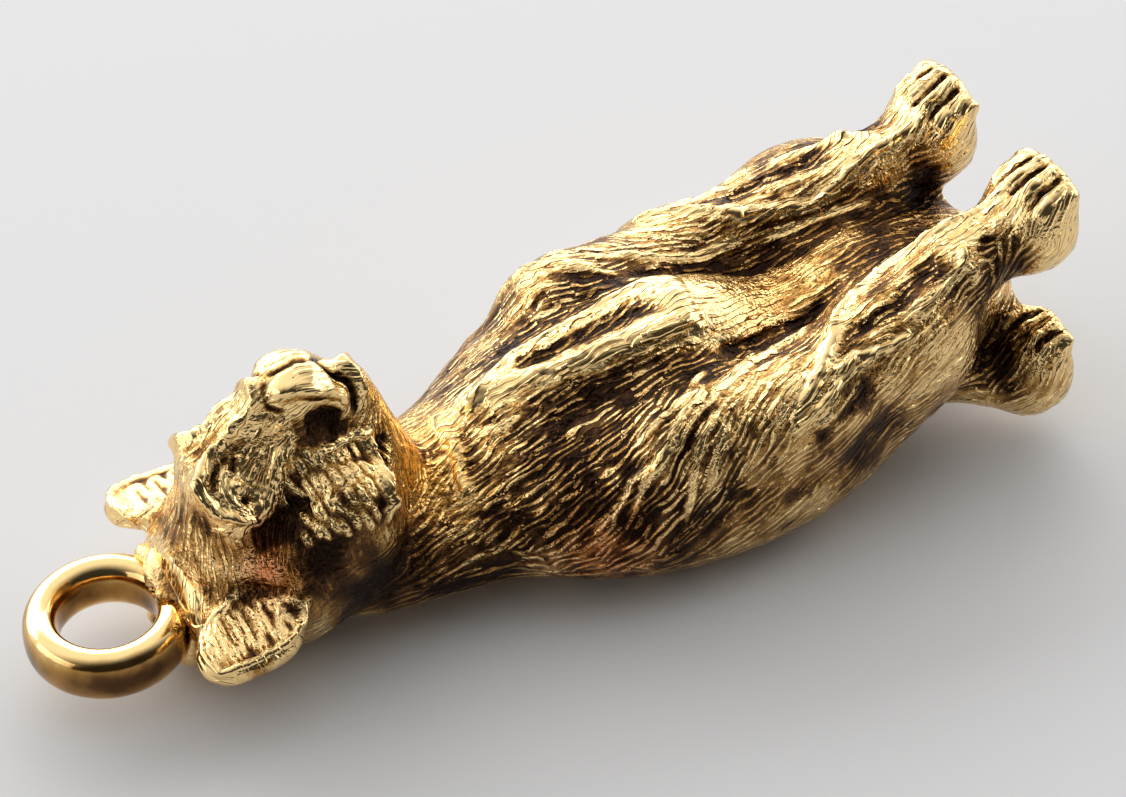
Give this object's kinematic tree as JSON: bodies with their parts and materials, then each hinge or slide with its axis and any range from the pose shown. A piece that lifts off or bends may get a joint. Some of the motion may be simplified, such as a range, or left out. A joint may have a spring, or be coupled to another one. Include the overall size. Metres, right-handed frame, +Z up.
{
  "type": "cat charm",
  "caption": "Solid cast sitting cat with straight forelegs and pricked ears; a closed oval-wire ring, soldered to the crown, hangs it from a chain, bracelet or cord.",
  "frame": {"origin": "centre of the bounding box in plan, on the table under the cat's back", "axes": "the cat lies on its back: +X from the ring towards the soles, +Y to the cat's left, +Z up out of its chest"},
  "size_m": [0.0242, 0.0088, 0.0071],
  "materials": {
    "casting": "antique gold plate, bright on the raised fur and dark brown in the hollows",
    "ring": "polished gold plate",
    "solder": "rough gold plate over hard solder"
  },
  "bodies": {
    "root": {"cat_casting": "casting", "hanging_ring": "ring", "solder_collar": "solder"}
  },
  "joints": []
}
